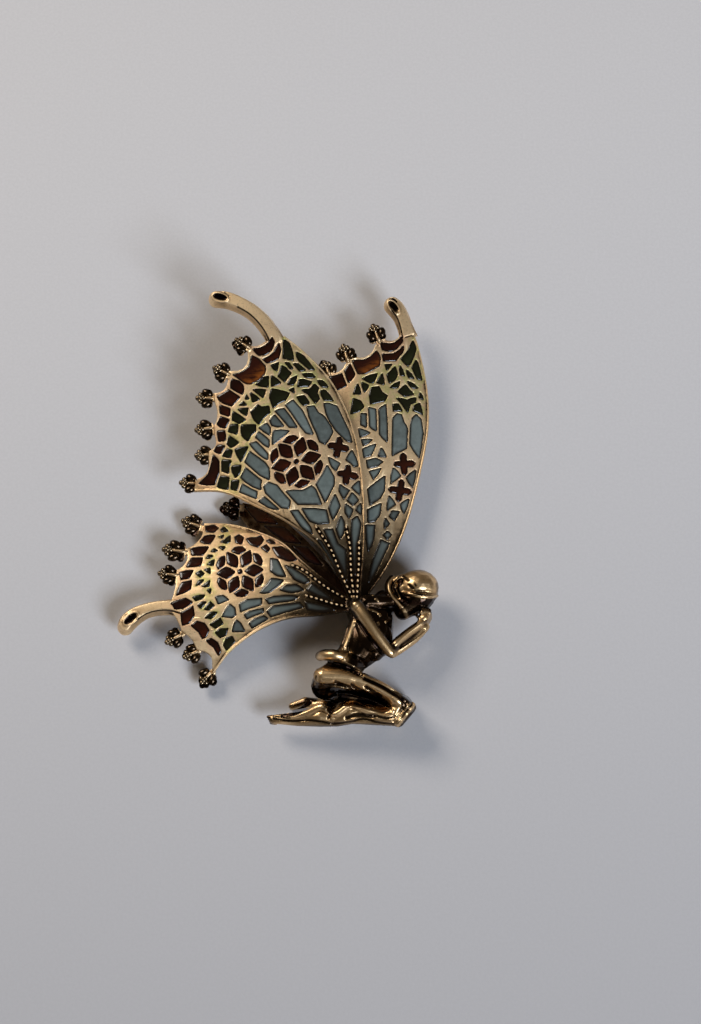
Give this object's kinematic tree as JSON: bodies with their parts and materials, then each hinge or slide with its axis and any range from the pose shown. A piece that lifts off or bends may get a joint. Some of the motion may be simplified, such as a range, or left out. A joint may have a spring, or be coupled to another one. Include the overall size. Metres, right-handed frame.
{
  "type": "winged fairy brooch",
  "caption": "Antique-gold cast brooch: a kneeling figure with four butterfly wings of gothic tracery in dark enamel, on a pin back, lying face up.",
  "frame": {"origin": "centre of the box's bottom face, on the surface that the brooch rests on", "axes": "+Z is the front of the brooch and points up from the surface, +Y runs from the figure's knees to the wing tips, +X is to the right as seen from the front"},
  "size_m": [0.0438, 0.0606, 0.013],
  "materials": {
    "antique_gold": "cast pale antique gold with dark patina in its recesses",
    "dark_gold": "dark patinated gold",
    "pin_steel": "plain drawn and brushed metal",
    "enamel_blue": "glossy grey-blue enamel",
    "enamel_green": "glossy dark green enamel",
    "enamel_red": "glossy dark red-brown enamel",
    "enamel_amber": "glossy amber-brown enamel"
  },
  "bodies": {
    "root": {"pin_back": "pin_steel", "figure": "antique_gold", "front_forewing": "antique_gold", "front_forewing_blue": "enamel_blue", "front_forewing_green": "enamel_green", "front_forewing_red": "enamel_red", "front_forewing_amber": "enamel_amber", "front_hindwing": "antique_gold", "front_hindwing_blue": "enamel_blue", "front_hindwing_green": "enamel_green", "front_hindwing_red": "enamel_red", "rear_forewing": "antique_gold", "rear_forewing_blue": "enamel_blue", "rear_forewing_green": "enamel_green", "rear_forewing_red": "enamel_red", "rear_forewing_amber": "enamel_amber", "rear_hindwing": "dark_gold", "rear_hindwing_red": "enamel_red"}
  },
  "joints": []
}
